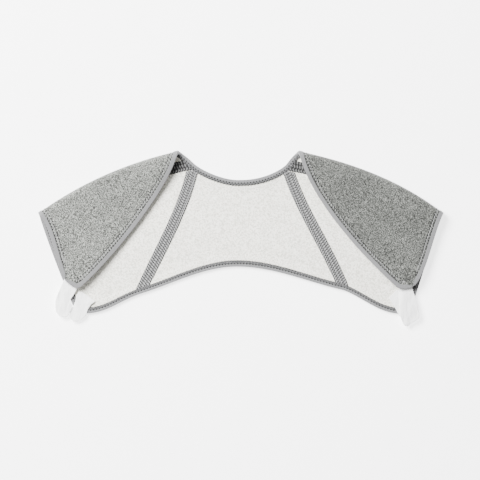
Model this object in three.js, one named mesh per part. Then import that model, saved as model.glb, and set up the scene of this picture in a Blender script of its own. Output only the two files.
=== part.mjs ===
// Shoulder brace laid flat: the back lies with its lining up, and both fronts are folded forward over it.
// X runs across the shoulders, +Y towards the neck, +Z up from the surface that it lies on, in mm.
import * as THREE from "three";

// Sizes of the brace as it lies
const shoulderSpan = 598; // outer corner to outer corner
const neckSpan = 178.6; // neck point to neck point
const neckDepth = 42.3; // neck points down to the lowest point of the neckline
const backLength = 128.4; // neckline to hem at the centre back
const shoulderFall = 91.7; // neck points down to the outer corners
const armholeDrop = 148; // outer corners down to the lower corners
const lowerCornerSpan = 493; // lower corner to lower corner
const raglanHeadSpan = 137.6; // raglan seams apart at the neckline
const raglanFootSpan = 293; // raglan seams apart at the hem
const raglanHeadDrop = 19; // neck points down to the heads of the raglan seams
const raglanFootRise = 33; // lower corners up to the feet of the raglan seams
const flapDrop = 111.2; // outer corners down to a front's lowest corner
const flapTipWidth = 21.75; // across the tip of a front, between its two corners
const flapTipInset = 41.35; // outer corners in to the outer corner of the tip
const flapTipRise = 7.3; // the tip's outer corner above its lowest one
const shoulderSeamDrop = 21; // fold down to the shoulder seam, along the armhole

// Cloth, trims and the room between pieces
const outerPly = 1.4; // grey knit outside
const liningPly = 1.2; // white knit inside
const clearance = 0.3; // between pieces that touch
const bindingWall = 1;
const bindingEase = 0.5; // between cloth and the binding folded round it
const seamGap = 0.5; // between the cloths that meet at a seam
const neckBindingWidth = 7.7; // on the lining side
const armholeBindingWidth = 9.8; // on the lining side
const hemBindingWidth = 9.8; // on the lining side
const outerBindingWidth = 6.5; // on the grey side
const tapeWidth = 17.2;
const tapeThickness = 1;
const tabWidth = 28.1;
const tabLength = 69.3;
const tabThickness = 1.5;
const tabInset = 58.4; // outer corners in to where a front tab starts
const tabDrop = 97.5; // outer corners down to where a front tab starts
const tabMargin = 6; // past a bound edge before a tab starts to sag

// Heights of the grey face of a front above the surface
const neckLoopHeight = 20; // where it turns over at a neck point
const armLoopHeight = 16.5; // where it turns over at an outer corner
const flapHeight = 11.5; // where it has come down over the lining
const flapCrown = 3; // more in the middle of the flap than at its edges
const settleLength = 75; // from the fold to where it has come down
const edgeSettle = 14; // from a bound edge to where the back lies flat
const tipRise = 80; // length over which a flap rises onto its tab
const levelTip = 18; // length of the tip that lies level on its tab

// Each half as it lies, as shares of the sizes above
const halves = [
  {
    name: "left",
    side: -1,
    neck: 1.036,
    head: 1.016,
    headDrop: 0.96,
    foot: 1.019,
    footRise: 0.877,
    corner: 0.989,
    tip: 0.966,
    inset: 0.94,
    rise: 1.68,
  },
  {
    name: "right",
    side: 1,
    neck: 0.96,
    head: 0.984,
    headDrop: 1.04,
    foot: 1.043,
    footRise: 1.04,
    corner: 1.011,
    tip: 1.034,
    inset: 1.06,
    rise: 0.32,
  },
];

// Bends of each edge: its two handles, as shares of the chord along it and out to its left
const bends = {
  left: {
    fold: { near: 0.328, nearOut: 0.068, far: 0.672, farOut: 0.07 },
    neckline: { near: 0.268, nearOut: 0.096, far: 0.741, farOut: 0.114 },
    upperNeckline: { near: 0.333, nearOut: 0.04, far: 0.667, farOut: 0.03 },
    upperArmhole: { near: 0.333, nearOut: 0, far: 0.667, farOut: 0 },
    raglan: { near: 0.331, nearOut: -0.07, far: 0.666, farOut: -0.005 },
    centreHem: { near: 0.331, nearOut: -0.01, far: 0.675, farOut: -0.1 },
    sideHem: { near: 0.415, nearOut: 0.167, far: 0.58, farOut: 0.017 },
    armhole: { near: 0.334, nearOut: 0.018, far: 0.666, farOut: 0.008 },
    flapFront: { near: 0.203, nearOut: -0.09, far: 0.787, farOut: -0.054 },
    flapArm: { near: 0.232, nearOut: -0.102, far: 0.722, farOut: 0.027 },
    tip: { near: 0.321, nearOut: -0.131, far: 0.673, farOut: -0.047 },
  },
  right: {
    fold: { near: 0.328, nearOut: 0.067, far: 0.674, farOut: 0.087 },
    neckline: { near: 0.299, nearOut: 0.122, far: 0.697, farOut: 0.106 },
    upperNeckline: { near: 0.333, nearOut: 0.06, far: 0.667, farOut: 0.05 },
    upperArmhole: { near: 0.333, nearOut: 0, far: 0.667, farOut: 0 },
    raglan: { near: 0.334, nearOut: -0.052, far: 0.666, farOut: 0.025 },
    centreHem: { near: 0.332, nearOut: 0.002, far: 0.671, farOut: -0.066 },
    sideHem: { near: 0.361, nearOut: 0.185, far: 0.627, farOut: 0.014 },
    armhole: { near: 0.333, nearOut: -0.02, far: 0.666, farOut: 0.014 },
    flapFront: { near: 0.258, nearOut: -0.116, far: 0.726, farOut: -0.057 },
    flapArm: { near: 0.27, nearOut: -0.024, far: 0.789, farOut: 0.094 },
    tip: { near: 0.327, nearOut: -0.082, far: 0.672, farOut: -0.069 },
  },
};

// Outlines of the tabs, row by row: shares of tab length down from the anchor, and of tab width out from it
const tabRows = {
  frontLeft: [
    { down: 0, inner: -0.07, outer: 0.72 },
    { down: 0.13, inner: -0.01, outer: 0.87 },
    { down: 0.25, inner: 0.09, outer: 0.99 },
    { down: 0.38, inner: 0.3, outer: 1.13 },
    { down: 0.47, inner: 0.48, outer: 1.18 },
    { down: 0.59, inner: 0.28, outer: 1.19 },
    { down: 0.69, inner: 0.4, outer: 1.16 },
    { down: 0.77, inner: 0.51, outer: 1.01 },
    { down: 0.81, inner: 0.65, outer: 0.85 },
  ],
  frontRight: [
    { down: 0, inner: -0.37, outer: 0.42 },
    { down: 0.21, inner: -0.24, outer: 0.46 },
    { down: 0.39, inner: -0.21, outer: 0.62 },
    { down: 0.58, inner: -0.2, outer: 0.75 },
    { down: 0.75, inner: -0.19, outer: 0.83 },
    { down: 0.83, inner: -0.14, outer: 0.82 },
    { down: 0.9, inner: -0.08, outer: 0.58 },
    { down: 0.96, inner: -0.01, outer: 0.32 },
    { down: 1, inner: 0.08, outer: 0.22 },
  ],
  backLeft: [
    { down: -0.46, inner: -0.32, outer: -0.16 },
    { down: -0.37, inner: -0.63, outer: -0.03 },
    { down: -0.26, inner: -1.03, outer: 0.02 },
    { down: -0.18, inner: -0.79, outer: 0.1 },
    { down: -0.08, inner: -0.63, outer: 0.26 },
    { down: 0.05, inner: -0.53, outer: 0.36 },
    { down: 0.12, inner: -0.34, outer: 0.27 },
    { down: 0.17, inner: -0.08, outer: 0.13 },
  ],
  backRight: [
    { down: -0.5, inner: -0.65, outer: -0.38 },
    { down: -0.41, inner: -0.88, outer: -0.17 },
    { down: -0.33, inner: -1.07, outer: 0.09 },
    { down: -0.22, inner: -0.91, outer: 0.17 },
    { down: -0.11, inner: -0.74, outer: 0.2 },
    { down: 0, inner: -0.6, outer: 0.17 },
    { down: 0.07, inner: -0.49, outer: 0.06 },
  ],
};

// Sizes that follow from those above
const cloth = outerPly + clearance + liningPly;
const bindingStack = bindingEase + bindingWall; // from cloth to the outside of the binding round it
const neckY = backLength / 2 + neckDepth;
const cornerY = neckY - shoulderFall;
const lowerCornerY = cornerY - armholeDrop;
const tipY = cornerY - flapDrop;
const boundTop = cloth + 2 * bindingStack; // top of a bound edge of the back
const backTabLevel = 2 * clearance; // above the bound edges
const frontTabLevel = backTabLevel + tabThickness + 3 * clearance;
const tipHeight = boundTop + frontTabLevel + tabThickness + clearance + bindingStack + cloth;

const flat = (x, y) => new THREE.Vector2(x, y);
const smooth = (x) => THREE.MathUtils.smoothstep(x, 0, 1);

// A cubic bend from start to end, which also runs on past both
function bend(start, end, row) {
  const chord = end.clone().sub(start);
  const left = flat(-chord.y, chord.x);
  const handle = (along, out) => start.clone().addScaledVector(chord, along).addScaledVector(left, out);
  const curve = new THREE.CubicBezierCurve(
    start,
    handle(row.near, row.nearOut),
    handle(row.far, row.farOut),
    end,
  );
  return (t) => curve.getPoint(t);
}

const reversed = (curve) => (t) => curve(1 - t);
const stretch = (curve, from, to) => (t) => curve(from + (to - from) * t);

// A patch between four curves: south and north run with u, west and east with v
function patchBetween(south, north, west, east) {
  return (u, v) =>
    flat(0, 0)
      .addScaledVector(south(u), 1 - v)
      .addScaledVector(north(u), v)
      .addScaledVector(west(v), 1 - u)
      .addScaledVector(east(v), u)
      .addScaledVector(south(0), -(1 - u) * (1 - v))
      .addScaledVector(south(1), -u * (1 - v))
      .addScaledVector(north(0), -(1 - u) * v)
      .addScaledVector(north(1), -u * v);
}

// How far the back is lifted at a distance from a cut edge: the binding under it lies on the surface
const liftNear = (distance, width) => {
  const past = (distance + bindingStack - width) / edgeSettle;
  return bindingStack * (1 - smooth(past));
};
const joinLifts = (a, b) => a + b - (a * b) / bindingStack;

const rise = (plan, u) => plan(u, 0).distanceTo(plan(u, 1));
const span = (plan, v) => plan(0, v).distanceTo(plan(1, v));
const at = (p, z) => new THREE.Vector3(p.x, p.y, z);
const between = THREE.MathUtils.lerp;

// The sheets of one half, drawn as the right half and mirrored when a solid is made. A sheet gives
// the grey face of the cloth, from cut edge to cut edge: u runs outwards, v away from the hem.
function layOut(half) {
  const bent = bends[half.name];
  const neckPoint = flat((neckSpan / 2) * half.neck, neckY);
  const corner = flat(shoulderSpan / 2, cornerY);
  const lowerCorner = flat((lowerCornerSpan / 2) * half.corner, lowerCornerY);
  const head = flat((raglanHeadSpan / 2) * half.head, neckY - raglanHeadDrop * half.headDrop);
  const foot = flat((raglanFootSpan / 2) * half.foot, lowerCornerY + raglanFootRise * half.footRise);
  const tipOuter = flat(shoulderSpan / 2 - flapTipInset * half.inset, tipY + flapTipRise * half.rise);
  const tipInner = flat(tipOuter.x - flapTipWidth * half.tip, tipY);
  const centreNeck = flat(0, backLength / 2);
  const centreHem = flat(0, -backLength / 2);

  const fold = bend(neckPoint, corner, bent.fold);
  const raglan = bend(head, foot, bent.raglan);
  const armhole = bend(corner, lowerCorner, bent.armhole);
  const sideHem = bend(lowerCorner, foot, bent.sideHem);
  const seamShare = shoulderSeamDrop / armholeDrop;
  const shoulderSeam = bend(head, armhole(seamShare), bent.fold);
  const seamLength = head.distanceTo(armhole(seamShare));

  const centrePlan = patchBetween(
    reversed(bend(foot, centreHem, bent.centreHem)),
    reversed(bend(head, centreNeck, bent.neckline)),
    (t) => centreHem.clone().lerp(centreNeck, t),
    reversed(raglan),
  );
  const centre = (u, v) => {
    const high = rise(centrePlan, u);
    const up = between(bindingStack, high - bindingStack, v);
    const lift = joinLifts(
      liftNear(up - bindingStack, hemBindingWidth),
      liftNear(high - up - bindingStack, neckBindingWidth),
    );
    return at(centrePlan(u, up / high), lift);
  };

  const sidePlan = patchBetween(
    reversed(sideHem),
    shoulderSeam,
    reversed(raglan),
    reversed(stretch(armhole, seamShare, 1)),
  );
  const sideBack = (u, v) => {
    const high = rise(sidePlan, u);
    const up = between(bindingStack, high, v);
    const wide = span(sidePlan, up / high);
    const neckInset = bindingStack * smooth((up - high) / neckBindingWidth + 1);
    const out = between(neckInset, wide - bindingStack, u);
    const place = sidePlan(out / wide, up / high);
    const hemOrArm = joinLifts(
      liftNear(up - bindingStack, hemBindingWidth),
      liftNear(wide - out - bindingStack, armholeBindingWidth),
    );
    const lift = joinLifts(hemOrArm, liftNear(place.distanceTo(head) - bindingStack, neckBindingWidth));
    return at(place, lift);
  };

  const cutIn = bindingStack / seamLength;
  const foldCut = stretch(fold, cutIn, 1 - cutIn);
  const tipInnerCut = tipInner.clone().add(flat(bindingStack / 5, bindingStack));
  const tipOuterCut = tipOuter.clone().add(flat(-bindingStack * 0.6, bindingStack * 0.8));
  const shoulderPlan = patchBetween(
    stretch(shoulderSeam, cutIn, 1 - cutIn),
    foldCut,
    bend(shoulderSeam(cutIn), foldCut(0), bent.upperNeckline),
    bend(shoulderSeam(1 - cutIn), foldCut(1), bent.upperArmhole),
  );
  const flapPlan = patchBetween(
    foldCut,
    bend(tipInnerCut, tipOuterCut, bent.tip),
    bend(foldCut(0), tipInnerCut, bent.flapFront),
    bend(foldCut(1), tipOuterCut, bent.flapArm),
  );
  const clothWidth = seamLength - 2 * bindingStack;
  const liftAlong = (u) =>
    joinLifts(
      liftNear(u * clothWidth, neckBindingWidth),
      liftNear((1 - u) * clothWidth, armholeBindingWidth),
    );
  // A front column by column: how far up the back it turns, how tight, and how long it is
  const column = (u) => {
    const low = liftAlong(u);
    const top = between(neckLoopHeight, armLoopHeight, u);
    const radius = (top - low) / 2;
    const upBack = rise(shoulderPlan, u);
    const downFlap = rise(flapPlan, u);
    const turnFrom = upBack - radius;
    const turnTo = turnFrom + Math.PI * radius;
    return { low, top, radius, upBack, downFlap, turnFrom, turnTo, length: turnTo + downFlap - radius };
  };
  // Along a front, v is mm of cloth from the shoulder seam: up the back, round the turn, down the flap
  const front = (u, v) => {
    const { low, top, radius, upBack, downFlap, turnFrom, turnTo } = column(u);
    const turned = THREE.MathUtils.clamp((v - turnFrom) / radius, 0, Math.PI);
    const fromFold = radius * (1 - Math.sin(turned));
    if (v <= turnFrom) return at(shoulderPlan(u, v / upBack), low);
    if (v < turnTo) {
      const turning = low + radius * (1 - Math.cos(turned));
      return at(
        turned < Math.PI / 2 ? shoulderPlan(u, 1 - fromFold / upBack) : flapPlan(u, fromFold / downFlap),
        turning,
      );
    }
    const gone = v - turnTo;
    const down = (gone + radius) / downFlap;
    const toLevel = Math.max(0, (1 - down) * downFlap - levelTip);
    const settled = smooth(gone / settleLength);
    const offTip = smooth(toLevel / tipRise);
    const crown = flapCrown * 4 * u * (1 - u) * settled * offTip;
    const rest = between(tipHeight, flapHeight, offTip);
    return at(flapPlan(u, down), between(top, rest, settled) + crown);
  };

  // The least distance from the armhole and side hem edges of the back
  const samples = Array.from({ length: 81 }, (_, i) => i / 80);
  const edgePoints = samples.flatMap((t) => [armhole(t), sideHem(t)]);
  const fromBackEdge = (p) => Math.min(...edgePoints.map((q) => q.distanceTo(p)));

  const tabStart = flat(shoulderSpan / 2 - tabInset, cornerY - tabDrop);
  return { ...half, centre, sideBack, front, column, clothWidth, fromBackEdge, tabStart, lowerCorner };
}

const laid = halves.map(layOut);

// Position, directions and inward normal of a sheet at (u, v)
function sheetFrame(sheet, u, v) {
  const nudge = 1e-3;
  const alongU = sheet(u + nudge, v).sub(sheet(u - nudge, v)).divideScalar(2 * nudge);
  const alongV = sheet(u, v + nudge).sub(sheet(u, v - nudge)).divideScalar(2 * nudge);
  const normal = alongU.clone().cross(alongV);
  const sine = normal.length() / (alongU.length() * alongV.length());
  return { place: sheet(u, v), alongU, alongV, normal: normal.normalize(), sine };
}

const mirrored = (p, side) => new THREE.Vector3(side * p.x, p.y, p.z);

// The point at a depth into the cloth, from its grey face
function inCloth({ one, sheet, u, v }, depth) {
  const here = sheetFrame(sheet, u, v);
  return mirrored(here.place.addScaledVector(here.normal, depth), one.side);
}

// A closed geometry from points and faces, turned so that its faces point outwards
function closedGeometry(points, faces) {
  const volume = faces.reduce(
    (sum, [a, b, c]) => sum + points[a].dot(points[b].clone().cross(points[c])),
    0,
  );
  const outward = volume < 0 ? faces.map(([a, b, c]) => [a, c, b]) : faces;
  const geometry = new THREE.BufferGeometry().setFromPoints(points);
  geometry.setIndex(outward.flat());
  geometry.computeVertexNormals();
  return geometry;
}

const quad = (a, b, c, d) => [
  [a, b, c],
  [a, c, d],
];

// A closed slab between two grids of points with the same rows and columns
function slab(lower, upper) {
  const rows = lower.length;
  const columns = lower[0].length;
  const low = (j, i) => j * columns + i;
  const high = (j, i) => rows * columns + low(j, i);
  const faces = [];
  for (let j = 0; j + 1 < rows; j++) {
    for (let i = 0; i + 1 < columns; i++) {
      faces.push(...quad(high(j, i), high(j, i + 1), high(j + 1, i + 1), high(j + 1, i)));
      faces.push(...quad(low(j, i), low(j + 1, i), low(j + 1, i + 1), low(j, i + 1)));
    }
  }
  const rim = [];
  for (let i = 0; i + 1 < columns; i++) rim.push([0, i]);
  for (let j = 0; j + 1 < rows; j++) rim.push([j, columns - 1]);
  for (let i = columns - 1; i > 0; i--) rim.push([rows - 1, i]);
  for (let j = rows - 1; j > 0; j--) rim.push([j, 0]);
  rim.forEach(([j, i], k) => {
    const [nextJ, nextI] = rim[(k + 1) % rim.length];
    faces.push(...quad(low(j, i), low(nextJ, nextI), high(nextJ, nextI), high(j, i)));
  });
  return closedGeometry([...lower.flat(), ...upper.flat()], faces);
}

// A closed sweep through rings of points, each a loop that follows the outline
function sweep(rings, outline) {
  const size = outline.length;
  const faces = [];
  for (let k = 0; k + 1 < rings.length; k++) {
    for (let i = 0; i < size; i++) {
      const next = (i + 1) % size;
      faces.push(...quad(k * size + i, k * size + next, (k + 1) * size + next, (k + 1) * size + i));
    }
  }
  const last = (rings.length - 1) * size;
  const clockwise = THREE.ShapeUtils.isClockWise(outline);
  THREE.ShapeUtils.triangulateShape([...outline], []).forEach(([a, b, c]) => {
    const [first, second] = clockwise ? [b, c] : [c, b];
    faces.push([a, first, second], [last + a, last + second, last + first]);
  });
  return closedGeometry(rings.flat(), faces);
}

const outwards = (list) => [...list].reverse();
const spread = (count) => Array.from({ length: count - 1 }, (_, i) => (i + 1) / count);

// Places across a width as shares of it: insets in mm from its start and its end, with even steps between
function placesAcross(starts, steps, ends, width) {
  const from = starts.map((mm) => mm / width);
  const to = ends.map((mm) => 1 - mm / width);
  const low = from.at(-1) ?? 0;
  return [...from, ...spread(steps).map((share) => between(low, to[0], share)), ...to];
}

const seamInset = seamGap / 2;
const pastBinding = (width) => {
  const inner = width - bindingStack;
  return [0, inner, inner + edgeSettle / 2, inner + edgeSettle];
};
const alongShoulder = 4; // even steps between the bindings of a shoulder
const riseOf = (sheet, u) => sheet(u, 0).distanceTo(sheet(u, 1));
const spanOf = (sheet, v) => sheet(0, v).distanceTo(sheet(1, v));

// Grids of places, a row for each v, from the hem up and from the middle or the neck outwards
function centreGrid(one) {
  const sheet = one.centre;
  const below = pastBinding(hemBindingWidth);
  const above = outwards(pastBinding(neckBindingWidth));
  const up = (u) => placesAcross(below, 4, above, riseOf(sheet, u));
  const across = (v) => placesAcross([0], 6, [tapeWidth / 2, seamInset], spanOf(sheet, v));
  return up(0.5).map((mid, j) => across(mid).map((u) => ({ one, sheet, u, v: up(u)[j] })));
}

function sideGrid(one) {
  const sheet = one.sideBack;
  const [, ...besideHead] = pastBinding(neckBindingWidth);
  const atSeam = [seamInset, ...besideHead];
  const below = pastBinding(hemBindingWidth);
  const atArmhole = outwards(pastBinding(armholeBindingWidth));
  const up = (u) => placesAcross(below, 4, outwards(atSeam), riseOf(sheet, u));
  const across = (v) => placesAcross(atSeam, alongShoulder, atArmhole, spanOf(sheet, v));
  return up(0.5).map((mid, j) => across(mid).map((u) => ({ one, sheet, u, v: up(u)[j] })));
}

function frontGrid(one) {
  const sheet = one.front;
  const stations = (u) => {
    const { turnFrom, turnTo, length } = one.column(u);
    return [
      seamInset,
      turnFrom / 2,
      turnFrom,
      ...spread(9).map((share) => between(turnFrom, turnTo, share)),
      turnTo,
      ...spread(6).map((share) => between(turnTo, length - levelTip - edgeSettle, share)),
      length - levelTip - edgeSettle,
      length - levelTip - edgeSettle / 2,
      length - levelTip,
      length,
    ];
  };
  const across = placesAcross(
    pastBinding(neckBindingWidth),
    alongShoulder,
    outwards(pastBinding(armholeBindingWidth)),
    one.clothWidth,
  );
  return stations(0).map((_, j) => across.map((u) => ({ one, sheet, u, v: stations(u)[j] })));
}

// Both plies of a panel, by depth from the grey face
const outerDepths = [0, outerPly];
const liningDepths = [outerPly + clearance, cloth];
const sunk = (grid, depth) => grid.map((row) => row.map((place) => inCloth(place, depth)));
const panel = (grid, depths) => slab(...depths.map((depth) => sunk(grid, depth)));

// A binding's section: a folded strip. x is in from the outline, y is deep from the grey face.
function bindingProfile(liningWidth) {
  const round = bindingWall * 0.8;
  const under = -bindingStack;
  const over = cloth + bindingStack;
  return [
    flat(outerBindingWidth, under),
    flat(round, under),
    flat(0, under + round),
    flat(0, over - round),
    flat(round, over),
    flat(liningWidth, over),
    flat(liningWidth, over - bindingWall),
    flat(bindingWall, over - bindingWall),
    flat(bindingWall, under + bindingWall),
    flat(outerBindingWidth, under + bindingWall),
  ];
}

// The point at a distance along a line of places, at a depth into the cloth; less than 0 is off the edge
function alongLine(line, distance, depth) {
  const points = line.slice(0, 4).map((place) => inCloth(place, depth));
  let left = distance;
  let k = 0;
  while (k + 2 < points.length && left > points[k].distanceTo(points[k + 1])) {
    left -= points[k].distanceTo(points[k + 1]);
    k++;
  }
  return points[k].clone().lerp(points[k + 1], left / points[k].distanceTo(points[k + 1]));
}

// A binding's sections along a cut edge, from the lines of places that run in from it. Each one
// follows the cloth's own facets, and its profile is measured square to the edge.
function gridRings(lines, profile) {
  return lines.map((line, k) => {
    const before = lines[Math.max(0, k - 1)][0];
    const after = lines[Math.min(lines.length - 1, k + 1)][0];
    const edge = inCloth(after, 0).sub(inCloth(before, 0)).normalize();
    const inwards = inCloth(line[1], 0).sub(inCloth(line[0], 0)).normalize();
    const sine = edge.cross(inwards).length();
    return profile.map(({ x, y }) => alongLine(line, (x - bindingStack) / sine, y));
  });
}

// A unit vector in plan, square to an edge and on the same side of it as another
function squareTo(edge, side) {
  const square = new THREE.Vector3(-edge.y, edge.x, 0).normalize();
  return square.dot(side) < 0 ? square.negate() : square;
}

// A binding's section where the cloth lies level: a unit vector square to each edge that meets there
// gives the step in, along the mitre where there are two
function levelRing({ one, sheet, u, v }, squares, profile) {
  const { place, normal } = sheetFrame(sheet, u, v);
  const step = squares.reduce((sum, square) => sum.add(square), new THREE.Vector3());
  step.divideScalar(step.dot(squares[0]));
  return profile.map(({ x, y }) => {
    const point = place.clone().addScaledVector(step, x - bindingStack).addScaledVector(normal, y);
    return mirrored(point, one.side);
  });
}

const meanRing = (a, b) => a.map((p, i) => p.clone().lerp(b[i], 0.5));
const towards = (a, b, mm) => {
  const shift = b[0].clone().sub(a[0]).setLength(mm);
  return a.map((p) => p.clone().add(shift));
};
const joined = (first, second) => [
  ...first.slice(0, -1),
  meanRing(first.at(-1), second[0]),
  ...second.slice(1),
];

const neckProfile = bindingProfile(neckBindingWidth);
const armholeProfile = bindingProfile(armholeBindingWidth);
const hemProfile = bindingProfile(hemBindingWidth);
const columns = (grid) => grid[0].map((_, i) => grid.map((row) => row[i]));

function lowerOuterCorner(one, profile) {
  const { alongU, alongV } = sheetFrame(one.sideBack, 1, 0);
  const squares = [squareTo(alongU, alongV), squareTo(alongV, alongU.clone().negate())];
  return levelRing(one.sideGrid[0].at(-1), squares, profile);
}

// A section on the tip of a front, mitred at its two corners
function tipRing(one, u, profile) {
  const onTip = (share) => ({ one, sheet: one.front, u: share, v: one.column(share).length });
  const { v } = onTip(u);
  const { alongV } = sheetFrame(one.front, u, v);
  const [before, after] = [u - 1e-3, u + 1e-3].map((share) => one.front(share, onTip(share).v));
  const tipEdge = after.sub(before);
  const squares = [squareTo(tipEdge, alongV.clone().negate())];
  if (u === 0) squares.push(squareTo(alongV, tipEdge));
  if (u === 1) squares.push(squareTo(alongV, tipEdge.clone().negate()));
  return levelRing(onTip(u), squares, profile);
}

// Rings from the tip's outer corner, round it, up the flap's front edge, over the turn and to the centre
function halfNeckRings(one) {
  const onFlap = [
    ...[1, 0.65, 0.35, 0].map((u) => tipRing(one, u, neckProfile)),
    ...gridRings(outwards(one.frontGrid), neckProfile).slice(1),
  ];
  const neckLines = outwards(columns(outwards(one.centreGrid)));
  return joined(onFlap, gridRings(neckLines, neckProfile));
}

// Rings from the tip's outer corner over the turn and down the back's armhole
function armholeRings(one) {
  const onFlap = gridRings(outwards(one.frontGrid).map(outwards), armholeProfile);
  const onBack = gridRings(outwards(one.sideGrid).map(outwards), armholeProfile);
  const middle = joined(onFlap.slice(1), onBack.slice(0, -1));
  return [tipRing(one, 1, armholeProfile), ...middle, lowerOuterCorner(one, armholeProfile)];
}

// Rings from a lower corner along the side hem and on to the centre
function halfHemRings(one) {
  const side = gridRings(outwards(columns(one.sideGrid)), hemProfile);
  const centre = gridRings(outwards(columns(one.centreGrid)), hemProfile);
  return joined([lowerOuterCorner(one, hemProfile), ...side.slice(1)], centre);
}

// Two bindings that meet leave a clearance between their ends
function backedOff(rings) {
  return [towards(rings[0], rings[1], seamInset), ...rings.slice(1)];
}

// Seam tapes lie on the lining along a seam, half of it on the cloth at each side
function tape(rows) {
  return panel(rows, [cloth + clearance, cloth + clearance + tapeThickness]);
}

// Shares of u and of v that move a place 1 mm off an edge
const offEdge = (sheet, u, v) => {
  const { alongU, alongV, sine } = sheetFrame(sheet, u, v);
  return { u: 1 / (alongU.length() * sine), v: 1 / (alongV.length() * sine) };
};

// Columns of places along a seam: each column has its own stations, so that its ends follow the bindings
function raglanTape(one) {
  const half = tapeWidth / 2;
  const hemEnd = hemBindingWidth;
  const neckEnd = neckBindingWidth - bindingStack + 2 * clearance;
  const stations = (sheet, u, topEnd) => {
    const settle = edgeSettle / riseOf(sheet, u);
    const bottom = hemEnd * offEdge(sheet, u, 0).v;
    const top = 1 - topEnd * offEdge(sheet, u, 1).v;
    const even = spread(6).map((share) => between(bottom + settle, top - settle, share));
    return [bottom, bottom + settle / 2, bottom + settle, ...even, top - settle, top - settle / 2, top];
  };
  const columnAt = (sheet, edge, share, topEnd) =>
    stations(sheet, edge, topEnd).map((seamV, j) => {
      const u = Math.abs(edge - half * share * offEdge(sheet, edge, seamV).u);
      return { one, sheet, u, v: stations(sheet, u, topEnd)[j] };
    });
  const inner = [1, 0.5, 0].map((share) => columnAt(one.centre, 1, share, neckEnd));
  const outer = [0.5, 1].map((share) => columnAt(one.sideBack, 0, share, half + clearance));
  return tape([...inner, ...outer]);
}

function shoulderTape(one) {
  const half = tapeWidth / 2;
  const neckEnd = neckBindingWidth + clearance;
  const armEnd = armholeBindingWidth - bindingStack + 2 * clearance;
  const stations = (sheet, v) => {
    const settle = edgeSettle / spanOf(sheet, v);
    const low = neckEnd * offEdge(sheet, 0, v).u;
    const high = 1 - armEnd * offEdge(sheet, 1, v).u;
    const even = spread(alongShoulder).map((share) => between(low + settle, high - settle, share));
    return [low, low + settle / 2, low + settle, ...even, high - settle, high - settle / 2, high];
  };
  const onSide = [1, 0.5, 0].map((share) =>
    stations(one.sideBack, 1).map((seamU, i) => {
      const v = 1 - half * share * offEdge(one.sideBack, seamU, 1).v;
      return { one, sheet: one.sideBack, u: stations(one.sideBack, v)[i], v };
    }),
  );
  const onFront = [0.5, 1].map((share) =>
    stations(one.front, half * share).map((u) => ({ one, sheet: one.front, u, v: half * share })),
  );
  return tape([...onSide, ...onFront]);
}

// A tab lies over the bound edges of the back and sags past them; level is its height above them
function tab(one, anchor, table, level) {
  const shares = [0, 0.25, 0.5, 0.75, 1];
  const plan = table.map(({ down, inner, outer }) =>
    shares.map((share) =>
      flat(anchor.x + between(inner, outer, share) * tabWidth, anchor.y - down * tabLength),
    ),
  );
  const widest = Math.max(armholeBindingWidth, hemBindingWidth) + tabMargin;
  const under = (p) => cloth + 2 * liftNear(one.fromBackEdge(p), widest) + level;
  const raised = (p, extra) => mirrored(at(p, under(p) + extra), one.side);
  const atHeight = (extra) => plan.map((row) => row.map((p) => raised(p, extra)));
  return slab(atHeight(0), atHeight(tabThickness));
}

const finish = (color, roughness) => new THREE.MeshStandardMaterial({ color, roughness, metalness: 0 });
const finishes = {
  outer: finish(0xaeb0ae, 0.95),
  lining: finish(0xf0efeb, 0.95),
  binding: finish(0xb4b5b6, 0.85),
  tape: finish(0xa9abab, 0.85),
  tab: finish(0xf6f6f4, 0.7),
};

const brace = new THREE.Group();
function add(name, geometry, material) {
  const mesh = new THREE.Mesh(geometry, material);
  mesh.name = name;
  brace.add(mesh);
}

for (const one of laid) {
  one.centreGrid = centreGrid(one);
  one.sideGrid = sideGrid(one);
  one.frontGrid = frontGrid(one);
}
const [left, right] = laid;
const backCentre = left.centreGrid.map((row, j) => [...outwards(row.slice(1)), ...right.centreGrid[j]]);
add("back_outer_center", panel(backCentre, outerDepths), finishes.outer);
add("back_lining_center", panel(backCentre, liningDepths), finishes.lining);

const neckHalves = laid.map(halfNeckRings);
const armholes = laid.map(armholeRings);
const neckRings = [
  ...backedOff(neckHalves[0]).slice(0, -1),
  neckHalves[1].at(-1),
  ...outwards(backedOff(neckHalves[1])).slice(1),
];
add("neck_binding", sweep(neckRings, neckProfile), finishes.binding);
const hemHalves = laid.map((one) => backedOff(halfHemRings(one)));
const hemRings = [...hemHalves[0].slice(0, -1), ...outwards(hemHalves[1])];
add("hem_binding", sweep(hemRings, hemProfile), finishes.binding);

laid.forEach((one, k) => {
  const armhole = backedOff(outwards(backedOff(armholes[k])));
  add(`armhole_binding_${one.name}`, sweep(armhole, armholeProfile), finishes.binding);
  add(`back_outer_${one.name}`, panel(one.sideGrid, outerDepths), finishes.outer);
  add(`back_lining_${one.name}`, panel(one.sideGrid, liningDepths), finishes.lining);
  add(`front_outer_${one.name}`, panel(one.frontGrid, outerDepths), finishes.outer);
  add(`front_lining_${one.name}`, panel(one.frontGrid, liningDepths), finishes.lining);
  add(`raglan_tape_${one.name}`, raglanTape(one), finishes.tape);
  add(`shoulder_tape_${one.name}`, shoulderTape(one), finishes.tape);
});

add("front_tab_left", tab(left, left.tabStart, tabRows.frontLeft, frontTabLevel), finishes.tab);
add("front_tab_right", tab(right, right.tabStart, tabRows.frontRight, frontTabLevel), finishes.tab);
add("back_tab_left", tab(left, left.lowerCorner, tabRows.backLeft, backTabLevel), finishes.tab);
add("back_tab_right", tab(right, right.lowerCorner, tabRows.backRight, backTabLevel), finishes.tab);

export default brace;
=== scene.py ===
from types import SimpleNamespace

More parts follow.
